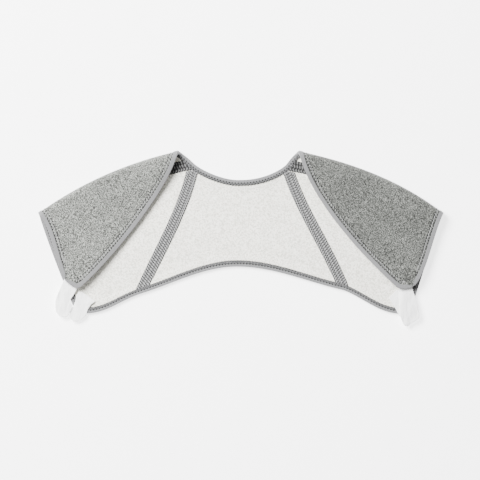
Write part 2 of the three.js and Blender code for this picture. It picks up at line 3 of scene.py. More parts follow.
import bpy
import numpy as np
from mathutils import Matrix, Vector


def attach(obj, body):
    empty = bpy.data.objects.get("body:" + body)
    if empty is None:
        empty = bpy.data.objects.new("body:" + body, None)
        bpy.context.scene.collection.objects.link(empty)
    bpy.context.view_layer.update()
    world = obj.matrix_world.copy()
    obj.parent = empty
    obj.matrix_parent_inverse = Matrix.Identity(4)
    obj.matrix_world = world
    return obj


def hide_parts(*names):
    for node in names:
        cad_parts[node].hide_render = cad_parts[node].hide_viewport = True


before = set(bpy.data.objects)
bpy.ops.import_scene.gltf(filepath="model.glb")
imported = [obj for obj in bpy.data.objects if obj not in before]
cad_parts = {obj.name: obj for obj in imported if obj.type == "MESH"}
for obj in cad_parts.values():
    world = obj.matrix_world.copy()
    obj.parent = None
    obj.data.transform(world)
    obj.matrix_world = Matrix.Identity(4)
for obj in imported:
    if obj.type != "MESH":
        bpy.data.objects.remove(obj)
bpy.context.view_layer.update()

# Sizes in mm, as the solids have them
brace = {
    "shoulderSpan": 598,
    "neckSpan": 178.6,
    "neckDepth": 42.3,
    "backLength": 128.4,
    "shoulderFall": 91.7,
    "armholeDrop": 148,
    "lowerCornerSpan": 493,
    "raglanHeadSpan": 137.6,
    "raglanFootSpan": 293,
    "raglanHeadDrop": 19,
    "raglanFootRise": 33,
    "flapDrop": 111.2,
    "flapTipWidth": 21.75,
    "flapTipInset": 41.35,
    "flapTipRise": 7.3,
    "shoulderSeamDrop": 21,
}
cloth = {
    "outer": 1.4,
    "lining": 1.2,
    "gap": 0.3,
    "seamGap": 0.5,
    "bindingStack": 1.5,  # room that a binding takes on each side of the cloth
    "settle": 14,  # from a bound edge to where the back lies flat
    "backWave": 0.35,  # height of the soft waves in the back
    "flapWave": 0.45,  # and in the fronts
    "outerStep": 1.6,  # grid of the fronts' grey cloth
    "backStep": 2.56,  # and of the back's
    "liningStep": 2.4,
}
flaps = {
    "neckLoop": 20,
    "armLoop": 16.5,
    "rest": 11.5,
    "crown": 3,
    "settle": 75,
    "tipRise": 80,
    "levelTip": 18,
}

# Each half as it lies, as shares of the sizes above
halves = [
    {
        "name": "left", "side": -1, "neck": 1.036, "head": 1.016, "headDrop": 0.96, "foot": 1.019,
        "footRise": 0.877, "corner": 0.989, "tip": 0.966, "inset": 0.94, "rise": 1.68,
    },
    {
        "name": "right", "side": 1, "neck": 0.96, "head": 0.984, "headDrop": 1.04, "foot": 1.043,
        "footRise": 1.04, "corner": 1.011, "tip": 1.034, "inset": 1.06, "rise": 0.32,
    },
]

# Bends of each edge: its two handles, as shares of the chord along it and out to its left
bends = {
    "left": {
        "fold": (0.328, 0.068, 0.672, 0.07),
        "neckline": (0.268, 0.096, 0.741, 0.114),
        "upperNeckline": (0.333, 0.04, 0.667, 0.03),
        "upperArmhole": (0.333, 0, 0.667, 0),
        "raglan": (0.331, -0.07, 0.666, -0.005),
        "centreHem": (0.331, -0.01, 0.675, -0.1),
        "sideHem": (0.415, 0.167, 0.58, 0.017),
        "armhole": (0.334, 0.018, 0.666, 0.008),
        "flapFront": (0.203, -0.09, 0.787, -0.054),
        "flapArm": (0.232, -0.102, 0.722, 0.027),
        "tip": (0.321, -0.131, 0.673, -0.047),
    },
    "right": {
        "fold": (0.328, 0.067, 0.674, 0.087),
        "neckline": (0.299, 0.122, 0.697, 0.106),
        "upperNeckline": (0.333, 0.06, 0.667, 0.05),
        "upperArmhole": (0.333, 0, 0.667, 0),
        "raglan": (0.334, -0.052, 0.666, 0.025),
        "centreHem": (0.332, 0.002, 0.671, -0.066),
        "sideHem": (0.361, 0.185, 0.627, 0.014),
        "armhole": (0.333, -0.02, 0.666, 0.014),
        "flapFront": (0.258, -0.116, 0.726, -0.057),
        "flapArm": (0.27, -0.024, 0.789, 0.094),
        "tip": (0.327, -0.082, 0.672, -0.069),
    },
}

# Sizes that follow from those above
thick = cloth["outer"] + cloth["gap"] + cloth["lining"]
stack = cloth["bindingStack"]
seamInset = cloth["seamGap"] / 2
bindings = {
    "wall": 1.0,
    "grey": 6.0,  # width on the grey side
    "neck": 7.7,  # widths on the lining side, with their teeth
    "armhole": 9.8,
    "hem": 9.8,
    "neckStrip": 6.3,  # widths of the plain strips
    "hemStrip": 6.0,
    "step": 1.2,
    "soften": 2.0,  # rings over which a corner is rounded
    "dip": 0.18,  # how far a row of stitches pulls it in
    "dipWidth": 0.7,
    "neckRow": 5.2,  # where that row runs, in from the outline
    "hemRow": 5.0,
    "edge": 0.3,  # how far its edges are cut off
}
tabs = {
    "width": 28.1,
    "length": 69.3,
    "thickness": 1.5,
    "inset": 58.4,
    "drop": 97.5,
    "margin": 6,
    "crease": 0.7,
    "round": 1.2,
}
backTabLevel = 2 * cloth["gap"]
frontTabLevel = backTabLevel + tabs["thickness"] + 3 * cloth["gap"]
tipHeight = thick + 2 * stack + frontTabLevel + tabs["thickness"] + cloth["gap"] + stack + thick
neckY = brace["backLength"] / 2 + brace["neckDepth"]
cornerY = neckY - brace["shoulderFall"]
lowerCornerY = cornerY - brace["armholeDrop"]
tipY = cornerY - brace["flapDrop"]


# Eased step from 0 to 1
def smooth(x):
    x = np.clip(x, 0, 1)
    return x * x * (3 - 2 * x)


# The share t of the way from a to b
def lerp(a, b, t):
    return a + (b - a) * t


# Root of the sum of squares of each vector
def lengthOf(vectors):
    return np.sqrt((vectors * vectors).sum(axis=-1))


# Each vector divided by its length
def unit(vectors):
    return vectors / np.maximum(lengthOf(vectors), 1e-9)[..., None]


# A cubic bend from start to end: four points weighted by powers of t and 1 - t. The row places the
# two handles along the chord and out to its left. It also runs on past both ends.
def bend(start, end, row):
    chord = end - start
    left = np.array([-chord[1], chord[0]])
    near = start + chord * row[0] + left * row[1]
    far = start + chord * row[2] + left * row[3]

    def at(t):
        t = np.asarray(t, float)[..., None]
        s = 1 - t
        return s**3 * start + 3 * s * s * t * near + 3 * s * t * t * far + t**3 * end

    return at


# Part of a curve, also backwards
def stretch(curve, start, end):
    return lambda t: curve(lerp(start, end, np.asarray(t, float)))


# A patch between four curves: south and north run with u, west and east with v. Each pair is
# blended across, both blends are added, and the blend of the four corners is taken off.
def patchBetween(south, north, west, east):
    corners = [south(0), south(1), north(0), north(1)]

    def at(u, v):
        u, v = np.broadcast_arrays(np.asarray(u, float), np.asarray(v, float))
        a, b = u[..., None], v[..., None]
        sides = south(u) * (1 - b) + north(u) * b + west(v) * (1 - a) + east(v) * a
        low = corners[0] * (1 - a) * (1 - b) + corners[1] * a * (1 - b)
        high = corners[2] * (1 - a) * b + corners[3] * a * b
        return sides - low - high

    return at


# How far the back is lifted at a distance from a cut edge: the binding under it lies on the floor
def liftNear(distance, width):
    return stack * (1 - smooth((distance + stack - width) / cloth["settle"]))


# Two lifts as one that never passes the full lift: their sum less their product over it
def joinLifts(a, b):
    return a + b - a * b / stack


# Distance from the foot to the head of a patch at each u
def rise(plan, u):
    return lengthOf(plan(u, 0) - plan(u, 1))


# And across it at each v
def span(plan, v):
    return lengthOf(plan(0, v) - plan(1, v))


# Flat points with a height added to each
def raised(plan, z):
    return np.concatenate([plan, np.broadcast_to(z, plan.shape[:-1])[..., None]], axis=-1)


# Soft waves: a sum of three slanting sines with wavelengths of 45 to 110 mm, from 0 to 1
def waves(x, y):
    first = np.sin(x / 11.3 + y / 17.1 + 0.6)
    second = np.sin(x / 7.4 - y / 12.7 + 2.1)
    third = np.sin(y / 8.9 + x / 31.0 + 4.0)
    return 0.5 + (0.45 * first + 0.3 * second + 0.25 * third) / 2


# The sheets of one half, drawn as the right half and mirrored when a mesh is made. A sheet gives
# the grey face of the cloth from cut edge to cut edge: u runs outwards, w away from the hem.
def layOut(half):
    bent = bends[half["name"]]
    side = half["side"]
    neckPoint = np.array([brace["neckSpan"] / 2 * half["neck"], neckY])
    corner = np.array([brace["shoulderSpan"] / 2, cornerY])
    lowerCorner = np.array([brace["lowerCornerSpan"] / 2 * half["corner"], lowerCornerY])
    headY = neckY - brace["raglanHeadDrop"] * half["headDrop"]
    head = np.array([brace["raglanHeadSpan"] / 2 * half["head"], headY])
    footY = lowerCornerY + brace["raglanFootRise"] * half["footRise"]
    foot = np.array([brace["raglanFootSpan"] / 2 * half["foot"], footY])
    tipOuterX = brace["shoulderSpan"] / 2 - brace["flapTipInset"] * half["inset"]
    tipOuter = np.array([tipOuterX, tipY + brace["flapTipRise"] * half["rise"]])
    tipInner = np.array([tipOuterX - brace["flapTipWidth"] * half["tip"], tipY])
    centreNeck = np.array([0, brace["backLength"] / 2])
    centreHem = -centreNeck

    fold = bend(neckPoint, corner, bent["fold"])
    raglan = bend(head, foot, bent["raglan"])
    armhole = bend(corner, lowerCorner, bent["armhole"])
    sideHem = bend(lowerCorner, foot, bent["sideHem"])
    seamShare = brace["shoulderSeamDrop"] / brace["armholeDrop"]
    shoulderSeam = bend(head, armhole(seamShare), bent["fold"])
    seamLength = lengthOf(head - armhole(seamShare))

    centrePlan = patchBetween(
        stretch(bend(foot, centreHem, bent["centreHem"]), 1, 0),
        stretch(bend(head, centreNeck, bent["neckline"]), 1, 0),
        lambda t: lerp(centreHem, centreNeck, np.asarray(t, float)[..., None]),
        stretch(raglan, 1, 0),
    )

    # Between the neckline and the hem, both cut in by the binding's room, lifted at both edges, with
    # waves where it isn't lifted
    def centre(u, w):
        high = rise(centrePlan, u)
        up = lerp(stack, high - stack, w)
        hemLift = liftNear(up - stack, bindings["hem"])
        lift = joinLifts(hemLift, liftNear(high - up - stack, bindings["neck"]))
        place = centrePlan(u, up / high)
        wave = cloth["backWave"] * waves(side * place[..., 0], place[..., 1])
        return raised(place, lift + wave * (1 - lift / stack))

    sidePlan = patchBetween(
        stretch(sideHem, 1, 0),
        shoulderSeam,
        stretch(raglan, 1, 0),
        stretch(armhole, 1, seamShare),
    )

    # The same between the raglan seam and the armhole, and lifted near the end of the neckline too
    def sideBack(u, w):
        high = rise(sidePlan, u)
        up = lerp(stack, high, w)
        wide = span(sidePlan, up / high)
        neckInset = stack * smooth((up - high) / bindings["neck"] + 1)
        out = lerp(neckInset, wide - stack, u)
        place = sidePlan(out / wide, up / high)
        hemLift = liftNear(up - stack, bindings["hem"])
        edgeLift = joinLifts(hemLift, liftNear(wide - out - stack, bindings["armhole"]))
        lift = joinLifts(edgeLift, liftNear(lengthOf(place - head) - stack, bindings["neck"]))
        wave = cloth["backWave"] * waves(side * place[..., 0], place[..., 1])
        return raised(place, lift + wave * (1 - lift / stack))

    cutIn = stack / seamLength
    foldCut = stretch(fold, cutIn, 1 - cutIn)
    tipInnerCut = tipInner + np.array([stack / 5, stack])
    tipOuterCut = tipOuter + np.array([-stack * 0.6, stack * 0.8])
    shoulderPlan = patchBetween(
        stretch(shoulderSeam, cutIn, 1 - cutIn),
        foldCut,
        bend(shoulderSeam(cutIn), foldCut(0), bent["upperNeckline"]),
        bend(shoulderSeam(1 - cutIn), foldCut(1), bent["upperArmhole"]),
    )
    flapPlan = patchBetween(
        foldCut,
        bend(tipInnerCut, tipOuterCut, bent["tip"]),
        bend(foldCut(0), tipInnerCut, bent["flapFront"]),
        bend(foldCut(1), tipOuterCut, bent["flapArm"]),
    )
    clothWidth = seamLength - 2 * stack

    # How far up the back each column of a front turns, how tight, and how long it is: it turns a
    # radius short of the fold, through half a circle
    def column(u):
        neckLift = liftNear(u * clothWidth, bindings["neck"])
        low = joinLifts(neckLift, liftNear((1 - u) * clothWidth, bindings["armhole"]))
        top = lerp(flaps["neckLoop"], flaps["armLoop"], u)
        radius = (top - low) / 2
        upBack, downFlap = rise(shoulderPlan, u), rise(flapPlan, u)
        turnFrom = upBack - radius
        turnTo = turnFrom + np.pi * radius
        return low, top, radius, upBack, downFlap, turnFrom, turnTo, turnTo + downFlap - radius

    # Up the back, round the turn and down the flap, where it settles, arches and rises onto its tab
    def front(u, w):
        low, top, radius, upBack, downFlap, turnFrom, turnTo, length = column(u)
        v = lerp(seamInset, length, w)
        turned = np.clip((v - turnFrom) / radius, 0, np.pi)
        fromFold = radius * (1 - np.sin(turned))
        upShare = np.where(v <= turnFrom, v / upBack, 1 - fromFold / upBack)
        gone = np.maximum(v - turnTo, 0)
        down = np.where(v < turnTo, fromFold, gone + radius) / downFlap
        onBack = (turned < np.pi / 2)[..., None]
        plan = np.where(onBack, shoulderPlan(u, upShare), flapPlan(u, down))
        toLevel = np.maximum(0, (1 - down) * downFlap - flaps["levelTip"])
        settled = smooth(gone / flaps["settle"])
        offTip = smooth(toLevel / flaps["tipRise"])
        crown = flaps["crown"] * 4 * u * (1 - u) * settled * offTip
        rest = lerp(tipHeight, flaps["rest"], offTip)
        wave = waves(side * plan[..., 0] + 40, plan[..., 1]) - 0.5
        high = lerp(top, rest, settled) + crown + 2 * cloth["flapWave"] * wave * settled * offTip
        turning = low + radius * (1 - np.cos(turned))
        return raised(plan, np.where(v < turnTo, turning, high))

    ticks = np.linspace(0, 1, 81)
    edges = np.concatenate([armhole(ticks), sideHem(ticks)])

    # The least distance from the armhole and side hem edges of the back
    def fromBackEdge(plan):
        gaps = plan[..., None, :] - edges
        return np.sqrt((gaps * gaps).sum(axis=-1)).min(axis=-1)

    anchorX = brace["shoulderSpan"] / 2 - tabs["inset"]
    return SimpleNamespace(
        name=half["name"],
        side=side,
        centre=centre,
        sideBack=sideBack,
        front=front,
        seamLength=float(seamLength),
        raglanLength=float(lengthOf(head - foot)),
        backHigh=float(rise(sidePlan, 0.5)),
        frontLong=float(column(0.5)[-1]),
        centreWide=float(span(centrePlan, 0.5)),
        fromBackEdge=fromBackEdge,
        tabStart=np.array([anchorX, cornerY - tabs["drop"]]),
        lowerCorner=lowerCorner,
    )


left, right = [layOut(half) for half in halves]


# Directions of a sheet along u and w, and the sine of the angle between them
def directions(sheet, u, w):
    nudge = 1e-3
    alongU = (sheet(u + nudge, w) - sheet(u - nudge, w)) / (2 * nudge)
    alongW = (sheet(u, w + nudge) - sheet(u, w - nudge)) / (2 * nudge)
    normal = np.cross(alongU, alongW)
    sine = lengthOf(normal) / np.maximum(lengthOf(alongU) * lengthOf(alongW), 1e-9)
    return alongU, alongW, unit(normal), sine


# Points at a depth into the cloth, from its grey face
def inCloth(one, sheet, u, w, depth):
    u, w = np.broadcast_arrays(np.asarray(u, float), np.asarray(w, float))
    _, _, normal, _ = directions(sheet, u, w)
    points = sheet(u, w) + normal * np.broadcast_to(depth, u.shape)[..., None]
    return points * np.array([one.side, 1, 1])


# Shares of u and of w that move a place 1 mm square off an edge
def offEdge(sheet, u, w):
    alongU, alongW, _, sine = directions(sheet, u, w)
    return 1 / (lengthOf(alongU) * sine), 1 / (lengthOf(alongW) * sine)


# Faces of a grid of rows and columns, numbered from first on
def gridFaces(rows, columns, first=0):
    numbers = first + np.arange(rows * columns).reshape(rows, columns)
    corners = [numbers[:-1, :-1], numbers[:-1, 1:], numbers[1:, 1:], numbers[1:, :-1]]
    return np.stack([corner.ravel() for corner in corners], axis=1)


# Six times the volume inside a list of faces
def signedVolume(points, faces):
    first = points[[face[0] for face in faces]]
    total = 0.0
    for k in (1, 2):
        a = points[[face[k] for face in faces]]
        b = points[[face[k + 1] if k + 1 < len(face) else face[0] for face in faces]]
        total += float((first * np.cross(a, b)).sum())
    return total


# Half the surface of a piece in square metres: the flat area of the cloth that it is cut from
def flatArea(piece):
    sizes = np.zeros(len(piece.data.polygons))
    piece.data.polygons.foreach_get("area", sizes)
    return float(sizes.sum()) / 2


# An object of the scene from its data
def placed(name, data):
    thing = bpy.data.objects.new(name, data)
    bpy.context.scene.collection.objects.link(thing)
    return thing


# A closed mesh from points in mm; every row of values goes to its points as an attribute
def addPiece(name, points, faces, look, slot, values=None, node=None, crease=50):
    points = np.asarray(points, float)
    faces = [tuple(face) for face in faces]
    if signedVolume(points, faces) < 0:
        faces = [face[::-1] for face in faces]
    mesh = bpy.data.meshes.new(name)
    mesh.from_pydata((points * 0.001).tolist(), [], faces)
    mesh.polygons.foreach_set("use_smooth", np.ones(len(faces), bool))
    mesh.set_sharp_from_angle(angle=np.radians(crease))
    for key, row in (values or {}).items():
        layer = mesh.attributes.new(key, "FLOAT", "POINT")
        layer.data.foreach_set("value", np.asarray(row, np.float32).ravel())
    mesh.update()
    mesh.materials.append(look)
    piece = placed(name, mesh)
    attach(piece, "root")
    if node:
        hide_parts(node)
    return piece


# A closed slab between two grids of points with the same rows and columns: both grids and the wall
# round their rim
def slab(lower, upper):
    rows, columns = lower.shape[:2]
    count = rows * columns
    numbers = np.arange(count).reshape(rows, columns)
    rim = np.concatenate([numbers[0, :-1], numbers[:-1, -1], numbers[-1, :0:-1], numbers[:0:-1, 0]])
    after = np.roll(rim, -1)
    walls = np.stack([rim, after, after + count, rim + count], axis=1)
    low = gridFaces(rows, columns)[:, ::-1]
    faces = np.concatenate([low, gridFaces(rows, columns, count), walls[:, ::-1]])
    points = np.concatenate([lower.reshape(-1, 3), upper.reshape(-1, 3)])
    return points, faces.tolist()


# Even shares from 0 to 1, about a step apart on a length
def ticksFor(length, step):
    return np.linspace(0, 1, max(2, int(round(length / step)) + 1))


# Grids of u and w for the cloths of one half: even shares, drawn in at the raglan seam
def centreGrid(one, step):
    u, w = np.meshgrid(ticksFor(one.centreWide, step), ticksFor(brace["backLength"], step))
    return u * (1 - seamInset / one.centreWide), w


# The same, drawn in at the raglan seam and at the shoulder seam
def sideGrid(one, step):
    u, w = np.meshgrid(ticksFor(one.seamLength, step), ticksFor(one.backHigh, step))
    first = seamInset / one.seamLength
    return lerp(first, 1, u), w * (1 - seamInset / one.backHigh)


# And from edge to edge
def frontGrid(one, step):
    return np.meshgrid(ticksFor(one.seamLength, step), ticksFor(one.frontLong, step))


# Depths of both faces of each ply, from the grey face of the cloth
plies = {
    "outer": (0, cloth["outer"]),
    "lining": (cloth["outer"] + cloth["gap"], thick),
}


# Grids of points at both faces of a ply
def plyFaces(ply, one, sheet, grid):
    return [inCloth(one, sheet, *grid, depth) for depth in plies[ply]]


# A look's material and nodes: a socket given as an input is linked, any other value is set
class Look:
    def __init__(self, name, roughness, sheen=0.0):
        self.material = bpy.data.materials.new(name)
        self.material.use_nodes = True
        self.tree = self.material.node_tree
        self.shader = self.tree.nodes["Principled BSDF"]
        self.shader.inputs["Roughness"].default_value = roughness
        self.shader.inputs["Specular IOR Level"].default_value = 0.2
        self.shader.inputs["Sheen Weight"].default_value = sheen
        self.shader.inputs["Sheen Roughness"].default_value = 0.5
        self.coords = self.add("ShaderNodeTexCoord").outputs["Object"]

    def add(self, kind, inputs=None, **settings):
        node = self.tree.nodes.new(kind)
        for key, value in settings.items():
            setattr(node, key, value)
        for key, value in (inputs or {}).items():
            socket = node.inputs[key]
            if isinstance(value, bpy.types.NodeSocket):
                self.tree.links.new(value, socket)
            else:
                socket.default_value = value
        return node

    def noise(self, scale, detail=2.0, roughness=0.5, vector=None):
        inputs = {"Vector": vector or self.coords, "Scale": scale}
        inputs.update({"Detail": detail, "Roughness": roughness})
        return self.add("ShaderNodeTexNoise", inputs).outputs["Fac"]

    def turned(self, turn, scale):
        inputs = {"Vector": self.coords, "Rotation": turn, "Scale": scale}
        return self.add("ShaderNodeMapping", inputs).outputs["Vector"]

    def value(self, name):
        return self.add("ShaderNodeAttribute", attribute_name=name).outputs["Fac"]

    def math(self, operation, a, b):
        return self.add("ShaderNodeMath", {0: a, 1: b}, operation=operation).outputs[0]

    # Stops are places and their colours, or one number for a grey
    def ramp(self, value, stops):
        node = self.add("ShaderNodeValToRGB", {"Fac": value})
        elements = node.color_ramp.elements
        while len(elements) < len(stops):
            elements.new(0.5)
        for element, (place, color) in zip(elements, stops):
            element.position = place
            element.color = (*np.broadcast_to(color, 3), 1)
        return node.outputs["Color"]

    # Colour a times colour b
    def times(self, a, b):
        inputs = {0: 1.0, 6: a, 7: b}
        return self.add("ShaderNodeMix", inputs, data_type="RGBA", blend_type="MULTIPLY").outputs[2]

    def color(self, value):
        self.tree.links.new(value, self.shader.inputs["Base Color"])

    def bump(self, height, distance, strength=1.0, normal=None):
        inputs = {"Height": height, "Distance": distance, "Strength": strength}
        if normal:
            inputs["Normal"] = normal
        result = self.add("ShaderNodeBump", inputs).outputs["Normal"]
        self.tree.links.new(result, self.shader.inputs["Normal"])
        return result


heather = {
    "flecks": 900,  # flecks, grains and patches to a metre
    "grains": 1900,
    # Broad soft patches of painted shade, standing in for the cloth's waves
    "shadePatches": 28,
    "fleckShare": 0.62,
    "tones": ((0.42, 0.022), (0.48, 0.09), (0.53, 0.16), (0.58, 0.4)),
    "tint": (1, 1.03, 0.95),
    "leftShade": 0.96,
    # Painted shade: the right front is far darker than the left, for its side turned away from the
    # light
    "rightPaintedShade": 0.635,
    "backShade": 0.92,
    "bump": 0.0006,
}


# Heather grey knit: long light and dark flecks in two sizes, added by their shares, and times broad
# patches of painted shade for the cloth's soft waves
def heatherLook(name, toneAndPaintedShade):
    look = Look(name, 0.95, 0.15)
    flecks = look.noise(heather["flecks"], 2, 0.6, look.turned((0, 0, 0.5), (1, 0.6, 1)))
    grains = look.noise(heather["grains"], 1, 0.5, look.turned((0, 0, -0.35), (1, 0.6, 1)))
    broad = look.noise(heather["shadePatches"], 3, 0.6)
    share, tint = heather["fleckShare"], heather["tint"]
    scaled = look.math("MULTIPLY", flecks, share), look.math("MULTIPLY", grains, 1 - share)
    both = look.math("ADD", *scaled)
    # Each stop is scaled by the tone, which holds painted shade for the right front
    stops = [(place, [tone * toneAndPaintedShade * part for part in tint]) for place, tone in heather["tones"]]
    shadePatches = look.ramp(broad, [(0.35, 0.78), (0.65, 1)])
    look.color(look.times(look.ramp(both, stops), shadePatches))
    look.bump(both, heather["bump"], 0.5)
    return look.material


brushed = {
    "pile": 480,
    "mottle": 60,
    "low": (0.87, 0.853, 0.775),
    "high": (0.94, 0.923, 0.85),
    # Tone of the painted shade in the pile's hollows
    "hollowShade": (0.62, 0.62, 0.6),
    "bump": 0.0005,
}


# Brushed white knit: faint mottling from low to high, times a soft pile with painted shade in its
# hollows
def liningLook():
    look = Look("lining", 0.95, 0.25)
    pile = look.noise(brushed["pile"], 3, 0.65)
    mottle = look.noise(brushed["mottle"], 3, 0.6)
    color = look.ramp(mottle, [(0.3, brushed["low"]), (0.7, brushed["high"])])
    paintedPileShade = look.ramp(pile, [(0.4, brushed["hollowShade"]), (0.56, 1)])
    look.color(look.times(color, paintedPileShade))
    look.bump(pile, brushed["bump"], 0.45)
    return look.material


elastic = {
    "grain": 1300,
    "low": (0.125, 0.125, 0.127),
    "high": (0.178, 0.178, 0.181),
    # Tone of the painted shade at the bottom of a stitch's dip
    "pullShade": 0.8,
}


# Smooth grey elastic: a fine grain from low to high, darkened by painted shade where stitches pull it
# in
def bindingLook():
    look = Look("binding", 0.75, 0.1)
    grain = look.noise(elastic["grain"], 2, 0.5)
    color = look.ramp(grain, [(0.3, elastic["low"]), (0.7, elastic["high"])])
    dark = look.ramp(look.value("pullShade"), [(0, 1), (1, elastic["pullShade"])])
    look.color(look.times(color, dark))
    look.bump(grain, 0.0003, 0.4)
    return look.material


# Stitched grey tape: ridges light and the grooves between them darkened by painted shade down to the
# groove tone, times a fine grain
def tapeLook(name, toneAndPaintedShade, paintedGrooveShade):
    look = Look(name, 0.8, 0.1)
    grain = look.noise(1500, 2, 0.5)
    stops = ((0.08, paintedGrooveShade), (0.42, 0.45 * paintedGrooveShade + 0.1), (0.85, 0.3))
    ridge = look.ramp(look.value("ridge"), [(place, tone * toneAndPaintedShade) for place, tone in stops])
    speckle = look.ramp(grain, [(0.3, 0.85), (0.7, 1)])
    look.color(look.times(ridge, speckle))
    look.bump(grain, 0.0003, 0.4)
    return look.material


# White hook-and-loop tape: fine even loops, and wide shallow wrinkles in the bump
def tabLook():
    look = Look("tab", 0.7, 0.2)
    loops = look.noise(1700, 2, 0.6)
    wrinkles = look.noise(95, 2, 0.5, look.turned((0, 0, 0.6), (1, 0.45, 1)))
    look.color(look.ramp(loops, [(0.3, (0.9, 0.9, 0.895)), (0.7, (0.97, 0.97, 0.965))]))
    fine = look.bump(loops, 0.0004, 0.5)
    look.bump(wrinkles, 0.006, 0.55, fine)
    return look.material


# Thread: twisted strands as fine slanting bands
def threadLook(name, tone):
    look = Look(name, 0.7)
    strands = look.noise(2600, 1, 0.5, look.turned((0, 0, 0.8), (1, 0.3, 1)))
    low, high = [(part, part, part * 1.02) for part in (tone * 0.8, tone * 1.15)]
    look.color(look.ramp(strands, [(0.35, low), (0.65, high)]))
    look.bump(strands, 0.0002, 0.5)
    return look.material


# How light the ridges of a tape are and how dark its grooves, darkened by painted shade, and tones of
# the threads
tapeTonesAndPaintedShade = {
    "raglan": (1.0, 0.09),
    # Painted shade: the shoulder tape lies in the dark hollow under the fold, so it is darker all
    # over
    "shoulder": (0.5, 0.018),
}
threadTones = {
    "dark": 0.025,
    "grey": 0.1,
    "light": 0.3,
}
looks = {
    "left": heatherLook("heatherLeft", heather["leftShade"]),
    # The right front's copy, darkened by painted shade
    "right": heatherLook("heatherRightPaintedShade", heather["rightPaintedShade"]),
    "back": heatherLook("heatherBack", heather["backShade"]),
    "lining": liningLook(),
    "binding": bindingLook(),
    "tab": tabLook(),
}
for kind, tones in tapeTonesAndPaintedShade.items():
    looks[kind] = tapeLook(kind + "Tape", *tones)
for kind, tone in threadTones.items():
    looks[kind + "Thread"] = threadLook(kind + "Thread", tone)

print("cloths")


# A ply of one panel: a closed slab between the grids of its two faces
def addCloth(name, ply, grids, look):
    piece = addPiece(name + "_cloth", *slab(*grids), look, ply, node=name)
    flatArea(piece)


# The back's middle panel at both faces of a ply: its left half mirrored beside its right half
def centreFaces(ply, step):
    mirrored = [part[:, :0:-1] for part in centreGrid(left, step)]
    leftFaces = plyFaces(ply, left, left.centre, mirrored)
    rightFaces = plyFaces(ply, right, right.centre, centreGrid(right, step))
    return [np.concatenate(pair, axis=1) for pair in zip(leftFaces, rightFaces)]


for ply, step in (("outer", cloth["backStep"]), ("lining", cloth["liningStep"])):
    look = looks["back" if ply == "outer" else "lining"]
    below = [] if ply == "outer" else ["back_outer_center_cloth"]
    addCloth("back_" + ply + "_center", ply, centreFaces(ply, step), look)
    for one in (left, right):
        below = [] if ply == "outer" else ["back_outer_" + one.name + "_cloth"]
        grids = plyFaces(ply, one, one.sideBack, sideGrid(one, step))
        addCloth("back_" + ply + "_" + one.name, ply, grids, look)
for one in (left, right):
    for ply in plies:
        look = looks[one.name if ply == "outer" else "lining"]
        grids = plyFaces(ply, one, one.front, frontGrid(one, cloth[ply + "Step"]))
        addCloth("front_" + ply + "_" + one.name, ply, grids, look)

print("bindings")


# One cut edge of a sheet: u or w stays at an end, and the run goes from start to end. A mitre trims
# the run at an end by as much as the point lies in from the edge.
def edgeLeg(one, sheet, fixed, start, end, mitres, length):
    along, at = fixed
    steps = ticksFor(length, bindings["step"])[:, None]

    def points(x, y):
        inset = np.asarray(x, float) - stack
        turn = np.sign(end - start)

        def where(run):
            edge = np.full_like(run, float(at))
            return (edge, run) if along == "u" else (run, edge)

        def runShare(place):
            shares = offEdge(sheet, *where(np.array([float(place)])))
            return shares[1 if along == "u" else 0][0]

        first = start + turn * mitres[0] * runShare(start) * inset
        last = end - turn * mitres[1] * runShare(end) * inset
        run = lerp(first, last, steps)
        shares = offEdge(sheet, *where(np.clip(run, 0, 1)))
        into = shares[0 if along == "u" else 1] * inset * (1 if at == 0 else -1)
        place = (at + into, run) if along == "u" else (run, at + into)
        return inCloth(one, sheet, *place, np.broadcast_to(y, run.shape))

    return points


# Rings averaged along a path with a bell of weights; both ends stay where they are
def softened(rings, sigma):
    reach = int(np.ceil(3 * sigma))
    weights = np.exp(-0.5 * (np.arange(-reach, reach + 1) / sigma) ** 2)
    weights /= weights.sum()
    before = 2 * rings[0] - rings[reach:0:-1]
    after = 2 * rings[-1] - rings[-2 : -reach - 2 : -1]
    padded = np.concatenate([before, rings, after])
    return sum(weight * padded[k : k + len(rings)] for k, weight in enumerate(weights))


# A path of legs end to end; it gives [station, point] for any offsets x in from the outline and
# depths y from the grey face
def pathOf(legs, flipFrom=None):
    def points(x, y):
        x, y = np.asarray(x, float), np.asarray(y, float)
        parts = [leg(x, y) for leg in legs]
        if flipFrom is not None:
            parts = parts[:flipFrom] + [part[::-1] for part in parts[flipFrom:][::-1]]
        trimmed = [parts[0]] + [part[1:] for part in parts[1:]]
        return softened(np.concatenate(trimmed), bindings["soften"])

    return points


